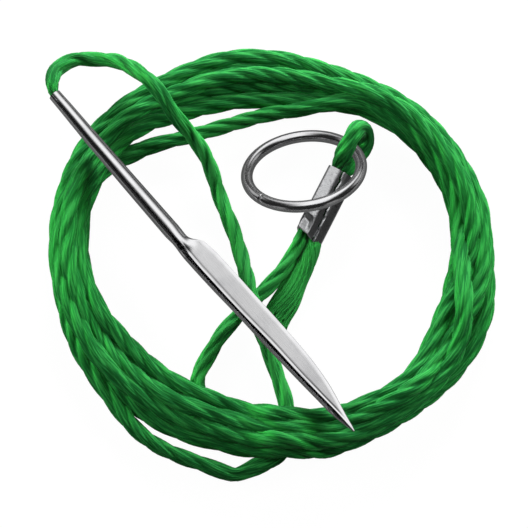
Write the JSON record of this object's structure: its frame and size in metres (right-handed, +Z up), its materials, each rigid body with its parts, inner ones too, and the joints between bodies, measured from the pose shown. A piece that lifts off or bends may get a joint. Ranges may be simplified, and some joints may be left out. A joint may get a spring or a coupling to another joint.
{
  "type": "fish stringer",
  "caption": "Coiled green laid cord with a long hollow needle on one end and a wire ring, held in a crimped sleeve, on the other.",
  "frame": {"origin": "on the surface that the coil lies on, under the middle of the part's bounding box", "axes": "+Z up out of the coil, +X to the picture's right, +Y to its top, away from the viewer"},
  "size_m": [0.113, 0.1142, 0.0183],
  "materials": {
    "cord": "lustrous laid polypropylene",
    "needle": "bright nickel plate",
    "sleeve": "satin tin plate",
    "ring": "bright nickel plate"
  },
  "bodies": {
    "coil": {"cord_coil": "cord", "strand_to_needle": "cord", "strand_to_ring": "cord", "cord_tail": "cord"},
    "needle": {"needle": "needle", "needle_lead": "cord"},
    "sleeve": {"crimp_sleeve": "sleeve", "cord_eye": "cord", "strand_lead": "cord", "tail_lead": "cord"},
    "ring": {"ring": "ring"}
  },
  "joints": [
    {"name": "needle_lift", "type": "hinge", "parent": "coil", "child": "needle", "pos_m": [-0.0538, 0.0406, 0.0104], "axis": [-0.7716, -0.6361, 0], "range_deg": [0, 75], "deforming": ["needle_lead"]},
    {"name": "sleeve_lift", "type": "hinge", "parent": "coil", "child": "sleeve", "pos_m": [0.00992, 0.00517, 0.00325], "axis": [0.891, -0.454, 0], "range_deg": [0, 50], "deforming": ["strand_lead", "tail_lead"]},
    {"name": "ring_swing", "type": "hinge", "parent": "sleeve", "child": "ring", "pos_m": [0.02177, 0.02658, 0.00717], "axis": [-0.4391, 0.7324, -0.5204], "range_deg": [0, 60]}
  ]
}
